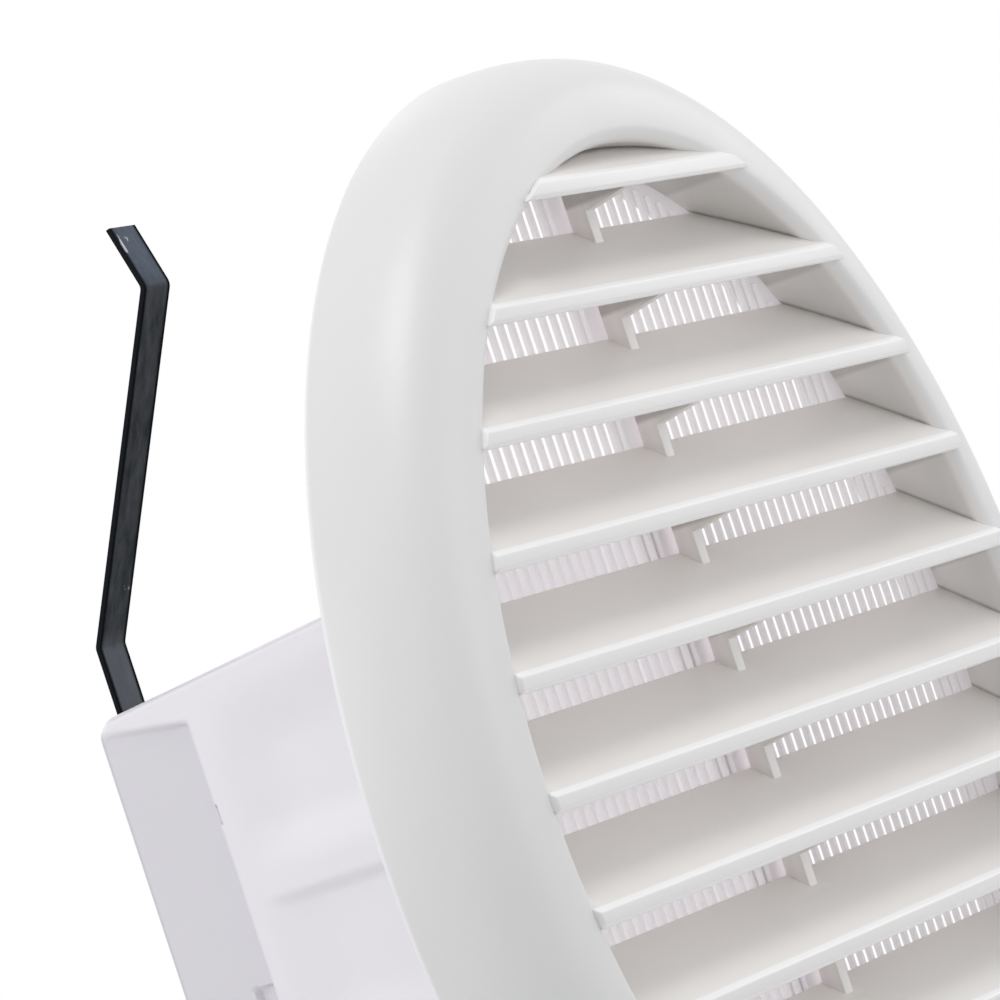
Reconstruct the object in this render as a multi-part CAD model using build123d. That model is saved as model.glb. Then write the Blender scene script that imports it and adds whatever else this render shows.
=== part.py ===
from build123d import *
import math
import os

# Round louvre grille that is held in a duct by two bent leaf springs.
# Origin: centre of the flange's back plane. +Y goes into the wall, +Z is up, the face looks along -Y.

# Rim of the front grille
flange_diameter = 150.0
rim_width = 12.0
rim_height = 14.0
rim_inner_corner = 1.4
rim_lean_angle = 4.2
rim_fullness = 0.885
rim_wall = 2.4
rim_ceiling = 3.0

# Louvre slats and the upright rib behind them
slat_pitch = 12.0
slat_angle = 40.0
slat_thickness = 1.4
slat_proud = 0.8
slat_rear_setback = 5.4
slat_lip_radius = 0.5
slat_end_inset = 0.12
slat_drop = 0.5
rib_thickness = 2.0
rib_depth = 2.3
rib_gusset_drop = 0.65

# Insect screen, seated in a counterbore behind the slats
screen_seat_step = 1.2
screen_clearance = 0.2
screen_thickness = 0.5
screen_ring_width = 2.2
mesh_pitch = 2.5
mesh_wire = 0.8

# Spring holder: a bridge bar across the counterbore with a ribbed arm
bar_width = 5.6
bar_depth = 1.8
tab_width = 4.4
tab_thickness = 1.2
tab_reach = 0.8
tab_clearance = 0.15
arm_thickness = 10.0
arm_end = 67.6
arm_end_half_height = 22.3
arm_taper = 0.10
arm_corner_radius = 2.2
arm_web = 8.4
arm_border = 2.9
arm_mid_rib = 1.6
arm_foot_wall = 3.0
arm_rear_zone = 11.5
arm_rear_recess = 0.3
arm_rear_rib = 1.7
pocket_corner_radius = 3.4
window_height = 7.0
window_offset = 9.0
window_length = 2.6
window_depth = 1.4

# Leaf springs and the flared slots that they stand in
spring_width = 5.8
spring_thickness = 0.5
spring_setback = 2.3
spring_root = 7.5
spring_leg_angle = 29.0
spring_leg = 41.0
spring_tip_angle = 15.0
spring_tip = 7.6
spring_bend_radius = 1.2
spring_fold_angle = 50.0
slot_depth = 2.6
slot_clearance = 0.3
slot_flare_margin = 4.0

# Values worked out from the driving dimensions
flange_radius = flange_diameter / 2
opening_radius = flange_radius - rim_width
crest_radius = opening_radius + rim_inner_corner
seat_y = -slat_rear_setback + screen_clearance
bore_radius = opening_radius + screen_seat_step
inner_wall_radius = opening_radius + rim_wall
slat_front_y = -(rim_height + slat_proud)
slat_rear_y = -slat_rear_setback
slat_slope = math.tan(math.radians(slat_angle))
slat_face = slat_thickness / math.cos(math.radians(slat_angle))
slat_end_radius = crest_radius - slat_end_inset
slat_pairs = int((opening_radius - slat_face) / slat_pitch)
screen_radius = bore_radius - screen_clearance
screen_back_y = seat_y + screen_thickness
bar_front_y = screen_back_y + screen_clearance
bar_back_y = bar_front_y + bar_depth
rear_zone_y = arm_end - arm_rear_zone
spring_y = arm_end - spring_setback
slot_floor = arm_end_half_height + arm_taper * spring_setback - slot_depth
spring_foot = slot_floor + slot_clearance


def arm_half_height(y):
    """Half height of the arm, which tapers towards its free end."""
    return arm_end_half_height + arm_taper * (arm_end - y)


def side_face(points):
    """Face in the YZ plane from (y, z) points."""
    return Plane.YZ * make_face(Polyline(*points, close=True))


def rim():
    """Domed hollow rim with a short inner wall that carries the slats and seats the screen."""
    inside_height = rim_height - rim_wall
    inside_radius = flange_radius - rim_wall
    lean = rim_height * math.tan(math.radians(rim_lean_angle))
    shoulder = (flange_radius - lean, -rim_height)
    soft = rim_inner_corner * (1 - math.sqrt(0.5))
    outline = Polyline(
        (flange_radius, 0),
        shoulder,
        (crest_radius, -rim_height),
        (opening_radius + soft, -rim_height + soft),
        (opening_radius, -rim_height + rim_inner_corner),
        (opening_radius, seat_y),
        (bore_radius, seat_y),
        (bore_radius, 0),
        (inner_wall_radius, 0),
        (inner_wall_radius, -inside_height),
        (inner_wall_radius + rim_ceiling, -inside_height),
        (inside_radius, 0),
        close=True,
    )
    section = make_face(outline)
    corner = section.vertices().sort_by_distance(shoulder)[0]
    section = fillet(corner, rim_fullness * (flange_radius - crest_radius))
    return revolve(section, Axis.Y)


def slat(front_z):
    """One inclined slat, low at the front, with a rounded upright lip."""
    rise = (slat_rear_y - slat_front_y) * slat_slope
    section = side_face([
        (slat_front_y, front_z),
        (slat_rear_y, front_z + rise),
        (slat_rear_y, front_z + rise - slat_face),
        (slat_front_y, front_z - slat_face),
    ])
    lips = section.vertices().sort_by(Axis.Y)[:2]
    section = fillet(lips, slat_lip_radius)
    return extrude(section, flange_radius, both=True)


def gusset(front_z):
    """Web of the upright rib below one slat."""
    bar_y = slat_rear_y - rib_depth
    under = front_z - slat_face
    front_y = slat_front_y + 2 * slat_lip_radius
    section = side_face([
        (front_y, under + (front_y - slat_front_y) * slat_slope),
        (front_y, under + slat_lip_radius),
        (bar_y, under - rib_gusset_drop),
        (bar_y, under + (bar_y - slat_front_y) * slat_slope),
    ])
    return extrude(section, rib_thickness / 2, both=True)


def tab_slots():
    """Slots in the inner wall for the ends of the bridge bar."""
    size = tab_width + 2 * tab_clearance
    thick = tab_thickness + 2 * tab_clearance
    reach = tab_reach + rim_wall
    mid_y = bar_back_y - tab_thickness / 2
    places = Locations((0, mid_y, opening_radius + reach / 2), (0, mid_y, -opening_radius - reach / 2))
    return places * Box(size, thick, reach)


def front_grille():
    """Rim, slats and rib: one moulding."""
    louvre = []
    for step in range(-slat_pairs, slat_pairs + 1):
        front_z = slat_pitch * step - slat_drop
        louvre.append(slat(front_z))
        louvre.append(gusset(front_z))
    bar_y = slat_rear_y - rib_depth / 2
    louvre.append(Pos(0, bar_y, 0) * Box(rib_thickness, rib_depth, flange_diameter))
    bounds = Rot(90, 0, 0) * Cylinder(slat_end_radius, flange_diameter)
    inside = Part() + louvre
    grille = rim() + (inside & bounds)
    for slot in tab_slots():
        grille -= slot
    return grille


def insect_screen():
    """Flat net of upright wires with one cross wire, a plain ring and a plain strip over the bar."""
    net_y = seat_y + screen_thickness / 2
    disc = Pos(0, net_y, 0) * Rot(90, 0, 0) * Cylinder(screen_radius, screen_thickness)
    net_radius = screen_radius - screen_ring_width
    gap = mesh_pitch - mesh_wire
    columns = int((net_radius - gap) / mesh_pitch)
    cuts = []
    for column in range(-columns, columns + 1):
        x = column * mesh_pitch
        if abs(x) - gap / 2 < bar_width / 2:
            continue
        far_x = abs(x) + gap / 2
        length = math.sqrt(net_radius**2 - far_x**2) - mesh_wire / 2
        for side in (1, -1):
            mid_z = side * (mesh_wire + length) / 2
            cuts.append(Pos(x, net_y, mid_z) * Box(gap, 2 * screen_thickness, length))
    return disc - cuts


def pocket(points, depth):
    """Recess with rounded corners in the arm's -X face."""
    outline = side_face(points)
    outline = fillet(outline.vertices(), pocket_corner_radius)
    return Pos(-arm_thickness / 2, 0, 0) * extrude(outline, depth)


def spring_slot():
    """Flared slot in the arm's upper edge, which lets the strip fold forward."""
    half = spring_thickness / 2 + slot_clearance
    mouth = slot_floor + 2 * slot_depth
    flare = math.tan(math.radians(spring_fold_angle + slot_flare_margin)) * (mouth - slot_floor)
    section = side_face([
        (spring_y + half, slot_floor),
        (spring_y + half, mouth),
        (spring_y - half - flare, mouth),
        (spring_y - half, slot_floor),
    ])
    return extrude(section, spring_width / 2 + slot_clearance, both=True)


def spring_holder():
    """Bridge bar with end tabs and the arm that carries both springs: one moulding."""
    foot_y = bar_back_y - bar_depth / 2
    outline = side_face([
        (foot_y, arm_half_height(foot_y)),
        (arm_end, arm_end_half_height),
        (arm_end, -arm_end_half_height),
        (foot_y, -arm_half_height(foot_y)),
    ])
    free_corners = outline.vertices().group_by(Axis.Y)[-1]
    outline = fillet(free_corners, arm_corner_radius)
    arm = extrude(outline, arm_thickness / 2, both=True)

    depth = (arm_thickness - arm_web) / 2
    near_y = bar_back_y + arm_foot_wall
    far_y = rear_zone_y - arm_rear_rib
    upper = pocket([
        (near_y, arm_mid_rib / 2),
        (far_y, arm_mid_rib / 2),
        (far_y, arm_half_height(far_y) - arm_border),
        (near_y, arm_half_height(near_y) - arm_border),
    ], depth)
    border_z = arm_end_half_height - arm_border
    rear_face = side_face([
        (rear_zone_y, border_z),
        (arm_end + arm_rear_zone, border_z),
        (arm_end + arm_rear_zone, -border_z),
        (rear_zone_y, -border_z),
    ])
    near_corners = rear_face.vertices().group_by(Axis.Y)[0]
    rear_face = fillet(near_corners, arm_corner_radius)
    rear = Pos(-arm_thickness / 2, 0, 0) * extrude(rear_face, arm_rear_recess)
    window_y = rear_zone_y + window_length / 2
    window_z = window_offset + window_height / 2
    window = Box(2 * window_depth, window_length, window_height)
    window = Pos(-arm_thickness / 2, window_y, -window_z) * window
    for recess in (rear, window, upper, mirror(upper, Plane.XY)):
        arm -= recess
        arm -= mirror(recess, Plane.YZ)
    slot = spring_slot()
    arm -= slot
    arm -= mirror(slot, Plane.XY)

    bar_length = 2 * screen_radius
    bar = Pos(0, foot_y, 0) * Box(bar_width, bar_depth, bar_length)
    bar &= Rot(90, 0, 0) * Cylinder(screen_radius, flange_diameter)
    tab_z = screen_radius - tab_width + tab_reach + screen_clearance
    tab = Pos(0, bar_back_y - tab_thickness / 2, tab_z + tab_width / 2) * Box(
        tab_width, tab_thickness, tab_width)
    return arm + bar + tab + mirror(tab, Plane.XY)


def upper_spring():
    """Bent strip: upright root, leg that leans forward, tip turned back out."""
    leg = math.radians(spring_leg_angle)
    tip = math.radians(spring_tip_angle)
    root_top = (spring_y, spring_foot + slot_depth + spring_root)
    knee = (root_top[0] - spring_leg * math.sin(leg), root_top[1] + spring_leg * math.cos(leg))
    end = (knee[0] + spring_tip * math.sin(tip), knee[1] + spring_tip * math.cos(tip))
    path = FilletPolyline((spring_y, spring_foot), root_top, knee, end, radius=spring_bend_radius)
    strip = Plane.YZ * trace(path, line_width=spring_thickness)
    return extrude(strip, spring_width / 2, both=True)


nodes = {
    "front_grille": front_grille(),
    "insect_screen": insect_screen(),
    "spring_holder": spring_holder(),
    "upper_spring": upper_spring(),
    "lower_spring": mirror(upper_spring(), Plane.XY),
}

os.makedirs("parts", exist_ok=True)
for name, solid in nodes.items():
    export_step(solid, f"parts/{name}.step")
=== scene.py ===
import bpy
import math
from mathutils import Euler, Matrix, Vector


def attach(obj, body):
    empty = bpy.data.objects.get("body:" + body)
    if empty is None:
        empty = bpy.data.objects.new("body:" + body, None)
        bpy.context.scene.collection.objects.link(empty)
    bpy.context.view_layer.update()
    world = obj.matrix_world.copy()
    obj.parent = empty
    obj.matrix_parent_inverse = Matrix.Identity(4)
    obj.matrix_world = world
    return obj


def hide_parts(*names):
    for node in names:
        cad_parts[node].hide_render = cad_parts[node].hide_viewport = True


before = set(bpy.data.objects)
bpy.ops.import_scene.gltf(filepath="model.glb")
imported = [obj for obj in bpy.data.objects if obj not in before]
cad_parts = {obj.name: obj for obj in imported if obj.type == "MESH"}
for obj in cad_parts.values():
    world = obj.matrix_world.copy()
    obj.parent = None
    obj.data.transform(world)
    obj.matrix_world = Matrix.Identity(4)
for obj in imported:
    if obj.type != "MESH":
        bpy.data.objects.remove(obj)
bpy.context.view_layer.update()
scene = bpy.context.scene
scene.view_settings.view_transform = "Standard"

# Lengths are in mm, in the frame of the CAD part: +Y into the wall, +Z up, the face looks along -Y.
MM = 0.001

# Rim
FLANGE_R = 75.0
RIM_WIDTH = 12.0
RIM_HEIGHT = 14.0
RIM_FULLNESS = 0.70
RIM_CORNER = 1.4
RIM_EDGE = 0.5
RIM_WALL = 2.4
RIM_CEILING = 3.0
RIM_BEVEL = 0.2
SEAT_STEP = 1.2
OPENING_R = FLANGE_R - RIM_WIDTH
CREST_R = OPENING_R + RIM_CORNER
BORE_R = OPENING_R + SEAT_STEP

# Slats, and the upright rib with a gusset below each slat
SLAT_FRONT = -14.8
SLAT_REAR = -5.4
SLAT_ANGLE = 40
SLAT_THICKNESS = 1.4
SLAT_PITCH = 12.0
SLAT_PAIRS = 5
SLAT_DROP = 0.5
SLAT_EDGE = 0.3
SLAT_END_INSET = 0.12
SLAT_HIGHEST = 63.6
LIP_RADIUS = 0.5
LIP_TOP = 0.24
LIP_FOOT = 0.62
RIB_HALF = 1.0
RIB_DEPTH = 2.3
RIB_REACH = 63.5
RIB_EDGE = 0.18
GUSSET_SUNK = 0.5
GUSSET_OVERLAP = 0.3
GUSSET_DROP = 0.74
GUSSET_RELIEF = 0.015
SLAT_SLOPE = math.tan(math.radians(SLAT_ANGLE))
SLAT_FACE = SLAT_THICKNESS / math.cos(math.radians(SLAT_ANGLE))
SLAT_END_R = CREST_R - SLAT_END_INSET
RIB_FRONT = SLAT_REAR - RIB_DEPTH

# Insect screen and the bar behind it
CLEARANCE = 0.2
SCREEN_THICKNESS = 0.5
BAR_DEPTH = 1.8
BAR_HALF = 2.8
BAR_REACH = 63.2
BAR_EDGE = 0.3
TAB_HALF = 2.2
TAB_THICKNESS = 1.2
TAB_RELIEF = 0.06
TAB_EDGE = 0.2
TAB_FROM = 60.8
TAB_TO = 64.9
SEAT_Y = SLAT_REAR + CLEARANCE
BAR_FRONT = SEAT_Y + SCREEN_THICKNESS + CLEARANCE
BAR_BACK = BAR_FRONT + BAR_DEPTH

# Arm of the spring holder
ARM_END = 67.6
ARM_HALF = 5.0
ARM_END_HEIGHT = 22.3
ARM_TAPER = 0.10
ARM_CORNER = 2.4
ARM_EDGE = 0.6
PANEL_DEPTH = 0.8
PANEL_FROM = 0.4
PANEL_FROM_SLOPE = 2.0
PANEL_TO = 55.2
PANEL_BORDER = 2.2
PANEL_SLOPE = 9.0
MID_RIB_TOP = 0.7
MID_RIB_TOP_SLOPE = 6.0
MID_RIB_FOOT = -2.0
MID_RIB_FOOT_SLOPE = 1.2
BAND_LENGTH = 11.5
BAND_DEPTH = 0.7
BAND_BORDER = 1.2
BAND_TAPER = 0.25
BAND_FROM_SLOPE = 0.35
BAND_SLOPE = 0.6
WINDOW_DEPTH = 1.3
WINDOW_Y = (56.2, 58.9)
WINDOW_Z = (-18.0, -11.0)
WINDOW_SLOPE = 0.3
SLIT_DEPTH = 0.8
SLIT_Y = (55.8, 56.5)
SLIT_Y_SLOPE = 0.2
SLIT_Z = (7.3, 9.7)
SLIT_Z_SLOPE = 0.4
BAND_FROM = ARM_END - BAND_LENGTH

# Slot for a spring
SPRING_Y = 65.3
SLOT_HALF = 3.3
SLOT_SIDE_SLOPE = 0.25
SLOT_DEPTH = 2.6
SLOT_BACK = 0.65
SLOT_BACK_SLOPE = 0.2
SLOT_FRONT = 0.55
SLOT_FLARE = 54

# Floor
FLOOR_Z = -75.4
FLOOR_HALF = 3000


class Shape:
    """Vertices and faces of one piece, gathered in mm."""

    def __init__(self):
        self.points = []
        self.faces = []

    def add(self, points, faces):
        start = len(self.points)
        self.points += points
        self.faces += [[i + start for i in face] for face in faces]

    def make(self, name, mat, sharp):
        """Links the piece to the scene. Edges that turn by more than sharp degrees stay crisp."""
        mesh = bpy.data.meshes.new(name)
        mesh.from_pydata([Vector(p) * MM for p in self.points], [], self.faces)
        mesh.validate()
        mesh.materials.append(mat)
        mesh.shade_smooth()
        mesh.set_sharp_from_angle(angle=math.radians(sharp))
        obj = bpy.data.objects.new(name, mesh)
        scene.collection.objects.link(obj)
        return obj


def loft(rings, joined):
    """Points and faces through closed rings of the same length: joined to a loop, or with end caps."""
    total = len(rings)
    count = len(rings[0])
    points = [p for ring in rings for p in ring]
    faces = []
    for i in range(total if joined else total - 1):
        here = i * count
        after = (i + 1) % total * count
        for j in range(count):
            k = (j + 1) % count
            faces.append([here + j, here + k, after + k, after + j])
    if not joined:
        last = (total - 1) * count
        faces.append(list(range(count))[::-1])
        faces.append([last + j for j in range(count)])
    return points, faces


def inset(section, distance):
    """Closed convex section of (y, z) points, listed anticlockwise, moved inwards."""
    moved = []
    count = len(section)
    for i in range(count):
        (y0, z0), (y1, z1), (y2, z2) = section[i - 1], section[i], section[(i + 1) % count]
        l1 = math.hypot(y1 - y0, z1 - z0)
        l2 = math.hypot(y2 - y1, z2 - z1)
        n1 = (-(z1 - z0) / l1, (y1 - y0) / l1)
        n2 = (-(z2 - z1) / l2, (y2 - y1) / l2)
        grow = distance / (1 + n1[0] * n2[0] + n1[1] * n2[1])
        moved.append((y1 + grow * (n1[0] + n2[0]), z1 + grow * (n1[1] + n2[1])))
    return moved


def prism(section, end, edge):
    """Prism along X between -end and +end, with rounded end edges. end is a function of z."""
    steps = 4
    half = []
    for k in range(steps + 1):
        turn = math.pi / 2 * k / steps
        ring = inset(section, edge * (1 - math.sin(turn)))
        back = edge * (1 - math.cos(turn))
        half.append([(end(z) - back, y, z) for y, z in ring])
    rings = [[(-x, y, z) for x, y, z in ring] for ring in half] + half[::-1]
    return loft(rings, False)


def upright(back, front, low, high):
    """Rectangular (y, z) section."""
    return [(back, high), (front, high), (front, low), (back, low)]


def arc(centre, radius, start, stop, steps):
    """(u, v) points on an arc, angles in degrees."""
    points = []
    for k in range(steps + 1):
        a = math.radians(start + (stop - start) * k / steps)
        points.append((centre[0] + radius * math.cos(a), centre[1] + radius * math.sin(a)))
    return points


def between(a, b, steps):
    """Points from a up to, but without, b."""
    return [(a[0] + (b[0] - a[0]) * k / steps, a[1] + (b[1] - a[1]) * k / steps) for k in range(steps)]


def step(x, width):
    """Smooth step from 0 at x = 0 to 1 at x = width."""
    t = min(max(x / width, 0), 1)
    return t * t * (3 - 2 * t)


def notch(x, limits, width):
    """1 between the two limits, with a smooth step inside each of them."""
    return step(x - limits[0], width) * step(limits[1] - x, width)


def dome():
    """(radius, y) points of the rim's front, from its outer edge up to the crest."""
    steps = 48
    handles = (
        (FLANGE_R, -RIM_EDGE),
        (FLANGE_R, -RIM_FULLNESS * RIM_HEIGHT),
        (CREST_R + RIM_FULLNESS * (FLANGE_R - CREST_R), -RIM_HEIGHT),
        (CREST_R, -RIM_HEIGHT),
    )
    points = []
    for k in range(steps):
        t = k / steps
        weights = ((1 - t) ** 3, 3 * (1 - t) ** 2 * t, 3 * (1 - t) * t * t, t ** 3)
        points.append(tuple(sum(w * p[c] for w, p in zip(weights, handles)) for c in (0, 1)))
    return points


def rim(shape):
    """Domed hollow rim, turned about Y."""
    turns = 320
    edge_steps = 6
    corner_steps = 10
    inner_wall = OPENING_R + RIM_WALL
    ceiling = RIM_WALL - RIM_HEIGHT
    profile = arc((FLANGE_R - RIM_EDGE, -RIM_EDGE), RIM_EDGE, 90, 0, edge_steps)[:-1]
    profile += dome()
    profile += arc((CREST_R, RIM_CORNER - RIM_HEIGHT), RIM_CORNER, 270, 180, corner_steps)
    profile += [
        (OPENING_R, SEAT_Y),
        (BORE_R, SEAT_Y),
        (BORE_R, -RIM_BEVEL),
        (BORE_R + RIM_BEVEL, 0),
        (inner_wall - RIM_BEVEL, 0),
        (inner_wall, -RIM_BEVEL),
        (inner_wall, ceiling),
        (inner_wall + RIM_CEILING, ceiling),
        (FLANGE_R - RIM_WALL, 0),
    ]
    rings = []
    for k in range(turns):
        a = 2 * math.pi * k / turns
        rings.append([(r * math.cos(a), y, r * math.sin(a)) for r, y in profile])
    shape.add(*loft(rings, True))


def slat(shape, front_z):
    """Sloping slat with a rounded lip, let into the rim at both ends."""
    face_steps = 10
    upper_steps = 5
    lower_steps = 7
    under = front_z - SLAT_FACE
    rise = (SLAT_REAR - SLAT_FRONT) * SLAT_SLOPE
    rear_top = (SLAT_REAR, front_z + rise)
    rear_foot = (SLAT_REAR, under + rise)
    lip_y = SLAT_FRONT + LIP_RADIUS
    upper = arc((lip_y, front_z - LIP_TOP), LIP_RADIUS, 180, 90 + SLAT_ANGLE, upper_steps)
    lower = arc((lip_y, under + LIP_FOOT), LIP_RADIUS, 270 + SLAT_ANGLE, 180, lower_steps)
    section = between(rear_top, upper[-1], face_steps) + upper[::-1] + lower[::-1]
    section += between(lower[0], rear_foot, face_steps)[1:] + [rear_foot]
    kept = [p for p in section if p[1] <= SLAT_HIGHEST]
    if len(kept) < len(section):
        cut_top = SLAT_FRONT + (SLAT_HIGHEST - front_z) / SLAT_SLOPE
        cut_foot = min(SLAT_FRONT + (SLAT_HIGHEST - under) / SLAT_SLOPE, SLAT_REAR)
        kept = [(cut_top, SLAT_HIGHEST)] + kept + [(cut_foot, SLAT_HIGHEST)]
    shape.add(*prism(kept, lambda z: math.sqrt(max(SLAT_END_R ** 2 - z * z, 1)), SLAT_EDGE))


def gusset(shape, front_z):
    """Web of the upright rib below one slat, let into the rib's bar."""
    inner_y = RIB_FRONT + GUSSET_SUNK
    front_y = SLAT_FRONT + 2 * LIP_RADIUS
    under = front_z - SLAT_FACE
    section = [
        (inner_y, under + (inner_y - SLAT_FRONT) * SLAT_SLOPE + GUSSET_OVERLAP),
        (front_y, under + (front_y - SLAT_FRONT) * SLAT_SLOPE + GUSSET_OVERLAP),
        (front_y, under + LIP_RADIUS),
        (inner_y, under - GUSSET_DROP),
    ]
    shape.add(*prism(section, lambda z: RIB_HALF - GUSSET_RELIEF, RIB_EDGE))


def grille_moulding(mat):
    """Rim, slats and rib: one moulding."""
    shape = Shape()
    rim(shape)
    for number in range(-SLAT_PAIRS, SLAT_PAIRS + 1):
        front_z = SLAT_PITCH * number - SLAT_DROP
        slat(shape, front_z)
        gusset(shape, front_z)
    bar = upright(SLAT_REAR, RIB_FRONT, -RIB_REACH, RIB_REACH)
    shape.add(*prism(bar, lambda z: RIB_HALF, RIB_EDGE))
    return shape.make("grille_moulding", mat, sharp=32)


def arm_half_height(y):
    """Half height of the arm, with its free corners rounded."""
    height = ARM_END_HEIGHT + ARM_TAPER * (ARM_END - y)
    past = y - (ARM_END - ARM_CORNER)
    if past > 0:
        height -= ARM_CORNER - math.sqrt(max(ARM_CORNER ** 2 - past * past, 0))
    return height


def rounding(gap):
    """How far the arm's surface falls back at a given distance from its edge."""
    near = max(ARM_EDGE - gap, 0)
    return ARM_EDGE - math.sqrt(max(ARM_EDGE ** 2 - near * near, 0))


def side_depth(y, z):
    """How far the arm's side lies below its outer face."""
    height = arm_half_height(y)
    panel = step(y - PANEL_FROM, PANEL_FROM_SLOPE) * step(PANEL_TO - y, PANEL_SLOPE)
    panel *= step(z - MID_RIB_TOP, MID_RIB_TOP_SLOPE) + step(MID_RIB_FOOT - z, MID_RIB_FOOT_SLOPE)
    panel *= step(height - PANEL_BORDER - abs(z), PANEL_SLOPE)
    border = BAND_BORDER + BAND_TAPER * (ARM_END - y)
    band = step(y - BAND_FROM, BAND_FROM_SLOPE) * step(height - border - abs(z), BAND_SLOPE)
    band *= BAND_DEPTH * (ARM_END - y) / BAND_LENGTH
    window = WINDOW_DEPTH * notch(y, WINDOW_Y, WINDOW_SLOPE) * notch(z, WINDOW_Z, WINDOW_SLOPE)
    slit = SLIT_DEPTH * notch(y, SLIT_Y, SLIT_Y_SLOPE) * notch(z, SLIT_Z, SLIT_Z_SLOPE)
    return PANEL_DEPTH * panel + max(band, window, slit)


def slot_depth(x, y):
    """Depth of the flared slot that the strip stands in, below the arm's edge."""
    inside = step(SLOT_HALF - abs(x), SLOT_SIDE_SLOPE)
    wall = step(SPRING_Y + SLOT_BACK - y, SLOT_BACK_SLOPE)
    ahead = max(SPRING_Y - SLOT_FRONT - y, 0)
    floor_depth = SLOT_DEPTH - ahead / math.tan(math.radians(SLOT_FLARE))
    return inside * wall * max(floor_depth, 0)


def arm_rows():
    """Places of the arm's cross-sections along Y, closer together where its form changes."""
    # First place, spacing and number of the cross-sections in each run
    runs = (
        (-3.6, 1.15, 4),
        (0.2, 0.3, 14),
        (4.6, 1.4, 35),
        (53, 0.2, 24),
        (58, 0.5, 9),
        (62.5, 0.15, 31),
    )
    rounded_end = (0.4, 0.25, 0.12, 0.04, 0)
    rows = [first + gap * k for first, gap, number in runs for k in range(number)]
    rows += [ARM_END - gap for gap in rounded_end]
    return sorted(rows)


def arm_ring(y):
    """Cross-section of the arm: both sides with their recesses, both edges with the spring's slot."""
    side_steps = 130
    top_steps = 40
    crowding = 0.35
    height = arm_half_height(y)
    side = []
    for k in range(side_steps + 1):
        share = k / side_steps
        z = height * (crowding * math.cos(math.pi * share) + (1 - crowding) * (1 - 2 * share))
        fall = rounding(height - abs(z)) + rounding(ARM_END - y) + side_depth(y, z)
        side.append((fall - ARM_HALF, z))
    reach = -side[0][0]
    top = []
    for k in range(1, top_steps):
        x = -reach + 2 * reach * k / top_steps
        top.append((x, slot_depth(x, y)))
    ring = [(x, y, z) for x, z in side[::-1]]
    ring += [(x, y, height - depth) for x, depth in top]
    ring += [(-x, y, z) for x, z in side]
    ring += [(-x, y, -height + depth) for x, depth in top]
    return ring


def holder_moulding(mat):
    """Bridge bar with end tabs and ribbed arm: one moulding."""
    shape = Shape()
    shape.add(*loft([arm_ring(y) for y in arm_rows()], False))
    bar = upright(BAR_BACK, BAR_FRONT, -BAR_REACH, BAR_REACH)
    shape.add(*prism(bar, lambda z: BAR_HALF, BAR_EDGE))
    for low, high in ((TAB_FROM, TAB_TO), (-TAB_TO, -TAB_FROM)):
        tab = upright(BAR_BACK - TAB_RELIEF, BAR_BACK - TAB_THICKNESS, low, high)
        shape.add(*prism(tab, lambda z: TAB_HALF, TAB_EDGE))
    return shape.make("holder_moulding", mat, sharp=40)


def new_material(name, rough):
    mat = bpy.data.materials.new(name)
    mat.use_nodes = True
    shader = mat.node_tree.nodes["Principled BSDF"]
    shader.inputs["Roughness"].default_value = rough
    return mat, mat.node_tree, shader


def add(tree, kind, **inputs):
    """New node with the given values on its inputs."""
    node = tree.nodes.new(kind)
    for key, value in inputs.items():
        node.inputs[key].default_value = value
    return node


def maths(tree, operation, *values):
    """Math node whose inputs are sockets or numbers."""
    node = tree.nodes.new("ShaderNodeMath")
    node.operation = operation
    for socket, value in zip(node.inputs, values):
        if isinstance(value, bpy.types.NodeSocket):
            tree.links.new(value, socket)
        else:
            socket.default_value = value
    return node.outputs["Value"]


def ramp(tree, value, low, high, top=1.0, bottom=0.0):
    """Clamped ramp from bottom where value = low to top where value = high."""
    node = tree.nodes.new("ShaderNodeMapRange")
    for key, number in (("From Min", low), ("From Max", high), ("To Min", bottom), ("To Max", top)):
        node.inputs[key].default_value = number
    tree.links.new(value, node.inputs["Value"])
    return node.outputs["Result"]


def zone(tree, length, low, high, top=1.0):
    """Ramp along a length, with its two ends in mm."""
    return ramp(tree, length, low * MM, high * MM, top)


def coordinate(tree, kind):
    """Coordinate of the kind Object, which is in metres, or Normal."""
    return tree.nodes.new("ShaderNodeTexCoord").outputs[kind]


def axes(tree, kind):
    """X, Y and Z of a coordinate in the part's frame."""
    split = tree.nodes.new("ShaderNodeSeparateXYZ")
    tree.links.new(coordinate(tree, kind), split.inputs["Vector"])
    return split.outputs


def size_of(tree, value):
    """The value without its sign."""
    return maths(tree, "ABSOLUTE", value)


def squares(tree, first, second):
    """Sum of the squares of two values."""
    return maths(tree, "MULTIPLY_ADD", first, first, maths(tree, "MULTIPLY", second, second))


def noise(tree, scale, detail):
    node = add(tree, "ShaderNodeTexNoise", Scale=scale, Detail=detail)
    tree.links.new(coordinate(tree, "Object"), node.inputs["Vector"])
    return node.outputs["Fac"]


def bump(tree, shader, height, strength, distance):
    node = add(tree, "ShaderNodeBump", Strength=strength, Distance=distance)
    tree.links.new(height, node.inputs["Height"])
    tree.links.new(node.outputs["Normal"], shader.inputs["Normal"])


def mix_colour(tree, factor, colour):
    """Node that blends the colour in over what is linked to its A."""
    node = tree.nodes.new("ShaderNodeMix")
    node.data_type = "RGBA"
    node.inputs["B"].default_value = (*colour, 1)
    tree.links.new(factor, node.inputs["Factor"])
    return node


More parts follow.
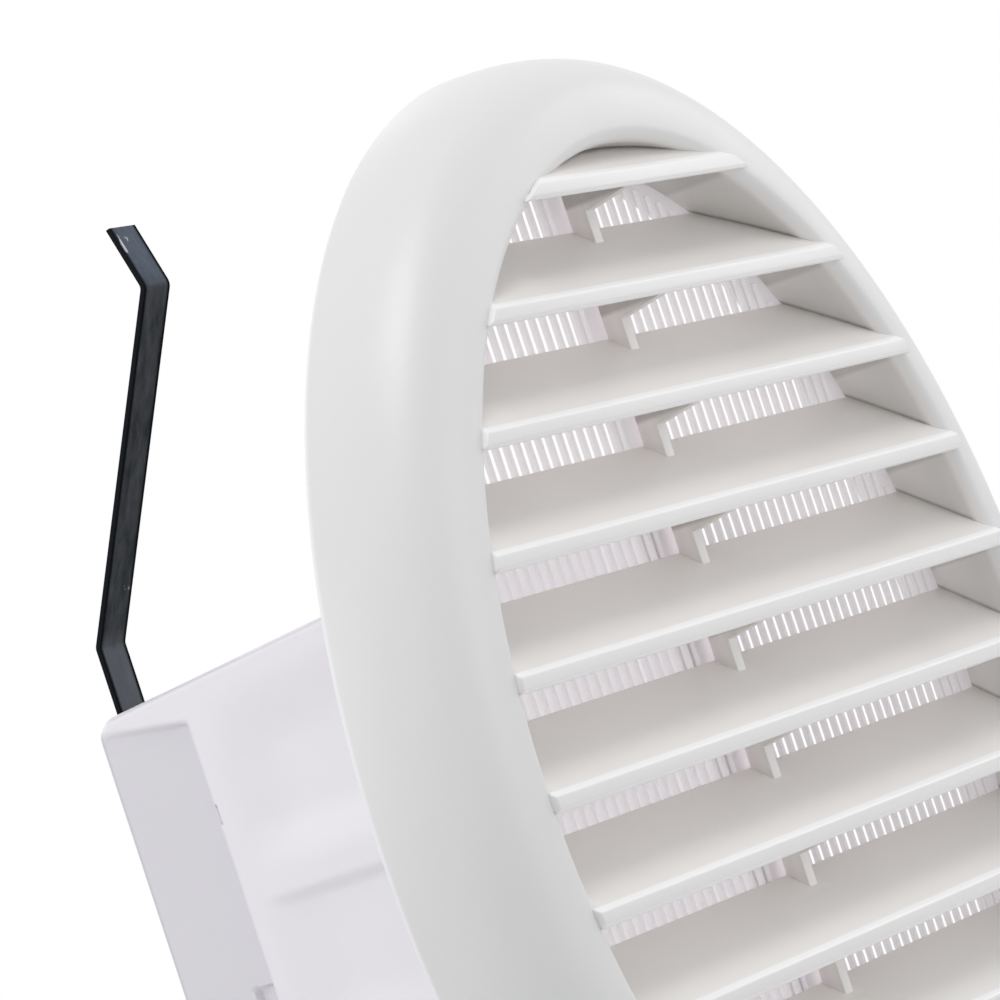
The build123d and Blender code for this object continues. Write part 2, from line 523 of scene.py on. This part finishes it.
def tint(mat, colour, *masks):
    """Blends another base colour in, as far as all the masks are set."""
    tree = mat.node_tree
    mask = masks[0]
    for other in masks[1:]:
        mask = maths(tree, "MULTIPLY", mask, other)
    base = tree.nodes["Principled BSDF"].inputs["Base Color"]
    mix = mix_colour(tree, mask, colour)
    tree.links.new(base.links[0].from_socket, mix.inputs["A"])
    tree.links.new(mix.outputs["Result"], base)


def plastic(name, colour, cloudy, rough, grain):
    """Moulded plastic: faint cloudy colour, fine grain and a few dust specks."""
    mat, tree, shader = new_material(name, rough)
    mix = mix_colour(tree, noise(tree, 28, 4), cloudy)
    mix.inputs["A"].default_value = (*colour, 1)
    tree.links.new(mix.outputs["Result"], shader.inputs["Base Color"])
    dust = add(tree, "ShaderNodeTexVoronoi", Scale=75, Randomness=1)
    tree.links.new(coordinate(tree, "Object"), dust.inputs["Vector"])
    chance = tree.nodes.new("ShaderNodeSeparateColor")
    tree.links.new(dust.outputs["Color"], chance.inputs["Color"])
    near = ramp(tree, dust.outputs["Distance"], 0.05, 0.02)
    rare = ramp(tree, chance.outputs["Red"], 0.80, 0.95)
    dust_grey = (0.42, 0.40, 0.38)
    tint(mat, dust_grey, near, rare)
    uneven = 0.07
    sheen = ramp(tree, noise(tree, 90, 5), 0, 1, rough + uneven, rough - uneven)
    tree.links.new(sheen, shader.inputs["Roughness"])
    bump(tree, shader, noise(tree, 900, 3), grain, 0.2 * MM)
    return mat


def holder_painted_shade(mat):
    """Painted shade: a duller, bluish grey on the arm's rear zone inside its border, and a painted shade
    line along the arm's outer edges.
    """
    tree = mat.node_tree
    place = axes(tree, "Object")
    y = place["Y"]
    height = size_of(tree, place["Z"])
    rear_shade = (0.55, 0.545, 0.58)
    edge_shade = (0.58, 0.57, 0.61)
    border_slope = 0.148
    # Painted shade, bluish, on the arm's rear zone inside its border.
    rear = zone(tree, y, BAND_FROM - 0.3, BAND_FROM + 0.3, 0.4)
    inside = zone(tree, maths(tree, "MULTIPLY_ADD", y, -border_slope, height), 11.5, 10.7)
    tint(mat, rear_shade, rear, inside)
    # Painted shade line along the arm's rounded outer edges, which turn away from the light.
    outline = ARM_END_HEIGHT + ARM_TAPER * ARM_END
    slant = maths(tree, "MULTIPLY_ADD", y, ARM_TAPER, height)
    long_edge = zone(tree, slant, outline - 0.56, outline - 0.26, 0.6)
    end_edge = zone(tree, y, ARM_END - 0.7, ARM_END - 0.4, 0.6)
    tint(mat, edge_shade, maths(tree, "MAXIMUM", long_edge, end_edge))


def axis_distance(tree, place):
    """Distance from the grille's axis."""
    return maths(tree, "SQRT", squares(tree, place["X"], place["Z"]))


def slat_tones(mat):
    """Painted warm bounce light on the slats, which the rim doesn't get, a neutral white on the lips with
    a painted highlight on their rounded edges, and a whiter back edge.
    """
    tree = mat.node_tree
    place = axes(tree, "Object")
    warm_bounce_white = (0.88, 0.845, 0.81)
    lip_white = (0.875, 0.855, 0.845)
    lip_highlight_white = (0.98, 0.97, 0.965)
    brighter_white = (0.94, 0.93, 0.95)
    # Painted warm bounce light inside the opening, on the slats and the rib.
    tint(mat, warm_bounce_white, zone(tree, axis_distance(tree, place), OPENING_R + 0.4, OPENING_R - 0.2, 0.8))
    lip = zone(tree, place["Y"], SLAT_FRONT + 0.7, SLAT_FRONT + 0.5, 0.9)
    tint(mat, lip_white, lip)
    # Painted highlight on the lips' rounded upper and lower edges.
    turned = ramp(tree, size_of(tree, axes(tree, "Normal")["Z"]), 0.15, 0.45)
    tint(mat, lip_highlight_white, lip, turned)
    tint(mat, brighter_white, zone(tree, place["Y"], -0.7, -0.4, 0.8))


def slat_level(tree, place):
    """Height above the front edge of the slat below, as a number of pitches."""
    pitch = SLAT_PITCH * MM
    return maths(tree, "MULTIPLY_ADD", place["Z"], 1 / pitch, SLAT_DROP / SLAT_PITCH)


def rib_tones(mat):
    """Painted light and shade on the rib: a lighter, warm tone on the bar's sides, painted shade on the
    gussets' sides and right below the lips, and painted light on its front edge.
    """
    tree = mat.node_tree
    place = axes(tree, "Object")
    facing = axes(tree, "Normal")
    y = place["Y"]
    bar_side_light = (0.89, 0.85, 0.835)
    gusset_side_shade = (0.68, 0.65, 0.62)
    shade = (0.25, 0.23, 0.22)
    brighter_white = (0.98, 0.96, 0.95)
    middle = zone(tree, size_of(tree, place["X"]), RIB_HALF + 2, RIB_HALF + 1, 0.7)
    side = ramp(tree, size_of(tree, facing["X"]), 0.5, 0.8)
    # Painted light on the bar's sides and painted shade on the gussets' sides, chosen by the way the
    # faces turn.
    tint(mat, bar_side_light, middle, side, zone(tree, y, RIB_FRONT - 0.8, RIB_FRONT + 0.7))
    tint(mat, gusset_side_shade, middle, side, zone(tree, y, RIB_FRONT + 0.7, RIB_FRONT - 0.8))
    # Painted shade on the rib's sides right below each lip.
    below_lip = maths(tree, "FRACT", slat_level(tree, place))
    tint(mat, shade, middle, side, ramp(tree, below_lip, 0.845, 0.885, 0.75))
    # Painted light on the rib's front face.
    forward = ramp(tree, facing["Y"], -0.6, -0.8)
    tint(mat, brighter_white, middle, forward, zone(tree, y, RIB_FRONT - 0.8, RIB_FRONT - 0.4))


def wall_tones(mat):
    """Painted shade on the rim's inner wall: towards the front, above each slat where it meets the wall,
    and below each lip where its shadow falls.
    """
    tree = mat.node_tree
    place = axes(tree, "Object")
    y = place["Y"]
    front_shade = (0.50, 0.48, 0.46)
    slat_shade = (0.20, 0.19, 0.18)
    lip_shade = (0.30, 0.28, 0.26)
    radius = axis_distance(tree, place)
    outside = zone(tree, radius, OPENING_R - 0.5, OPENING_R - 0.1)
    inside = zone(tree, radius, OPENING_R + 0.4, OPENING_R + 0.1)
    behind = zone(tree, y, -12.9, -12.2)
    wall = maths(tree, "MULTIPLY", maths(tree, "MULTIPLY", outside, inside), behind)
    tint(mat, front_shade, wall, zone(tree, y, -6.8, -10.8, 0.36))
    level = slat_level(tree, place)
    slope = SLAT_SLOPE / SLAT_PITCH
    climb = maths(tree, "MULTIPLY_ADD", y, -slope / MM, SLAT_FRONT * slope)
    above_slat = maths(tree, "FRACT", maths(tree, "ADD", level, climb))
    tint(mat, slat_shade, wall, ramp(tree, above_slat, 0.045, 0.012, 0.52))
    below_lip = maths(tree, "FRACT", level)
    tint(mat, lip_shade, wall, ramp(tree, below_lip, 0.83, 0.87, 0.35))


def translucent_with_painted_glow(mat, share):
    """Thin plastic that lets some light through, with a faint painted glow all over and a stronger
    painted glow on the strip in front of the bar, so that it is no darker where the bar stands behind it.
    """
    tree = mat.node_tree
    shader = tree.nodes["Principled BSDF"]
    shader.inputs["Emission Color"].default_value = (1, 0.97, 0.98, 1)
    strip_glow = 0.30
    net_glow = 0.022
    across = size_of(tree, axes(tree, "Object")["X"])
    strip = zone(tree, across, BAR_HALF + 0.6, BAR_HALF - 1.6, strip_glow)
    # Painted glow: emission on the net, stronger on the strip in front of the bar.
    tree.links.new(maths(tree, "ADD", strip, net_glow), shader.inputs["Emission Strength"])
    thin = add(tree, "ShaderNodeBsdfTranslucent", Color=(0.96, 0.94, 0.95, 1))
    mix = add(tree, "ShaderNodeMixShader", Fac=share)
    tree.links.new(shader.outputs["BSDF"], mix.inputs[1])
    tree.links.new(thin.outputs["BSDF"], mix.inputs[2])
    tree.links.new(mix.outputs["Shader"], tree.nodes["Material Output"].inputs["Surface"])


def blued_steel(name):
    """Spring steel: blotchy dark oxide, black edges, and a tip that the duct has rubbed bright."""
    mat, tree, shader = new_material(name, 0.42)
    shader.inputs["Metallic"].default_value = 0.9
    shader.inputs["Specular Tint"].default_value = (0.25, 0.28, 0.30, 1)
    stretch = add(tree, "ShaderNodeMapping", Scale=(620, 240, 240))
    tree.links.new(coordinate(tree, "Object"), stretch.inputs["Vector"])
    blotch = add(tree, "ShaderNodeTexNoise", Scale=1, Detail=6, Roughness=0.65)
    tree.links.new(stretch.outputs["Vector"], blotch.inputs["Vector"])
    oxide = tree.nodes.new("ShaderNodeValToRGB")
    dark, light = oxide.color_ramp.elements
    dark.position = 0.30
    dark.color = (0.040, 0.042, 0.045, 1)
    light.position = 0.72
    light.color = (0.112, 0.115, 0.121, 1)
    tree.links.new(blotch.outputs["Fac"], oxide.inputs["Fac"])
    tree.links.new(oxide.outputs["Color"], shader.inputs["Base Color"])
    place = axes(tree, "Object")
    height = size_of(tree, place["Z"])
    tip_blue = (0.15, 0.17, 0.22)
    root_grey = (0.155, 0.162, 0.185)
    bright = (0.62, 0.62, 0.66)
    black = (0.006, 0.007, 0.009)
    tint(mat, tip_blue, zone(tree, height, 65, 68, 0.45))
    tint(mat, root_grey, zone(tree, height, 32, 29.5, 0.6))
    one_side = zone(tree, place["X"], -1.7, -2.0, 0.22)
    tip_side = maths(tree, "MULTIPLY", zone(tree, height, 65, 68), one_side)
    worn = maths(tree, "ADD", tip_side, noise(tree, 330, 3))
    tint(mat, bright, ramp(tree, worn, 0.72, 0.76, 0.9))
    tint(mat, black, zone(tree, size_of(tree, place["X"]), 2.1, 2.6))
    bump(tree, shader, blotch.outputs["Fac"], 0.2, 0.1 * MM)
    return mat


grille_plastic = plastic("grille_plastic", (0.79, 0.78, 0.775), (0.82, 0.81, 0.805), 0.36, 0.08)
slat_tones(grille_plastic)
rib_tones(grille_plastic)
wall_tones(grille_plastic)
screen_plastic = plastic("screen_plastic", (0.90, 0.875, 0.885), (0.92, 0.895, 0.905), 0.55, 0.05)
translucent_with_painted_glow(screen_plastic, 0.55)
holder_plastic = plastic("holder_plastic", (0.915, 0.885, 0.925), (0.94, 0.91, 0.95), 0.42, 0.08)
holder_painted_shade(holder_plastic)
spring_steel = blued_steel("spring_steel")

grille = grille_moulding(grille_plastic)
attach(grille, "grille_body")
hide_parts("front_grille")
holder = holder_moulding(holder_plastic)
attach(holder, "grille_body")
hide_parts("spring_holder")
for node, mat in (
    ("front_grille", grille_plastic),
    ("insect_screen", screen_plastic),
    ("spring_holder", holder_plastic),
    ("upper_spring", spring_steel),
    ("lower_spring", spring_steel),
):
    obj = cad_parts[node]
    obj.data.materials.clear()
    obj.data.materials.append(mat)

# Camera: long lens, seen from the left of the face, turned about its own axis. Metres and degrees.
camera_place = Vector((-0.609201, -0.294259, 0.004807))
camera_turn = Euler([math.radians(angle) for angle in (92.3263, 18.3329, -62.4760)])
camera_data = bpy.data.cameras.new("camera")
camera = bpy.data.objects.new("camera", camera_data)
scene.collection.objects.link(camera)
camera_data.sensor_width = 36
camera_data.lens = 227.87
camera_data.clip_start = 0.01
camera.matrix_world = Matrix.LocRotScale(camera_place, camera_turn, None)
scene.camera = camera


def seen_white(tree, lit, out, share):
    """Camera, mirror and see-through rays find plain white; other rays find what is linked as lit."""
    path = tree.nodes.new("ShaderNodeLightPath").outputs
    direct = maths(tree, "MAXIMUM", path["Is Camera Ray"], path["Is Glossy Ray"])
    direct = maths(tree, "MAXIMUM", direct, path["Is Transmission Ray"])
    white = tree.nodes.new("ShaderNodeEmission")
    mix = tree.nodes.new("ShaderNodeMixShader")
    tree.links.new(maths(tree, "MULTIPLY", direct, share), mix.inputs["Fac"])
    tree.links.new(lit, mix.inputs[1])
    tree.links.new(white.outputs["Emission"], mix.inputs[2])
    tree.links.new(mix.outputs["Shader"], out)


world = bpy.data.worlds.new("world")
world.use_nodes = True
scene.world = world
sky = world.node_tree.nodes["Background"]
sky.inputs["Color"].default_value = (0.96, 0.98, 1, 1)
sky.inputs["Strength"].default_value = 0.645
sky_out = world.node_tree.nodes["World Output"].inputs["Surface"]
seen_white(world.node_tree, sky.outputs["Background"], sky_out, 1.0)


def floor_material():
    """Plain white far away, and grey enough to keep the object's shadow near it."""
    mat, tree, shader = new_material("floor", 0.6)
    shader.inputs["Base Color"].default_value = (0.66, 0.66, 0.66, 1)
    place = axes(tree, "Object")
    near_square = 0.03
    far_square = 0.25
    near_share = 0.55
    share = ramp(tree, squares(tree, place["X"], place["Y"]), near_square, far_square, 1.0, near_share)
    seen_white(tree, shader.outputs["BSDF"], tree.nodes["Material Output"].inputs["Surface"], share)
    return mat


floor = Shape()
corners = ((-1, -1), (1, -1), (1, 1), (-1, 1))
floor.add([(x * FLOOR_HALF, y * FLOOR_HALF, FLOOR_Z) for x, y in corners], [[0, 1, 2, 3]])
floor.make("floor", floor_material(), sharp=30)


def lamp(name, place, power, size):
    """Square lamp that shines at the origin. Its place and size are in metres."""
    data = bpy.data.lights.new(name, "AREA")
    data.energy = power
    data.size = size
    obj = bpy.data.objects.new(name, data)
    scene.collection.objects.link(obj)
    obj.location = place
    obj.rotation_euler = (-Vector(place)).to_track_quat("-Z", "Y").to_euler()


lamp("key", (-0.18, -0.42, 1.32), 4.8, 0.6)
lamp("back_left", (-0.9, 0.75, 0.35), 3.3, 0.8)
lamp("back_right", (0.8, 0.9, 0.5), 1.5, 0.8)
lamp("edge", (1.0, -0.36, 0.3), 0.5, 0.35)
lamp("fill", (0.5, -1.2, 0.15), 1.9, 0.8)
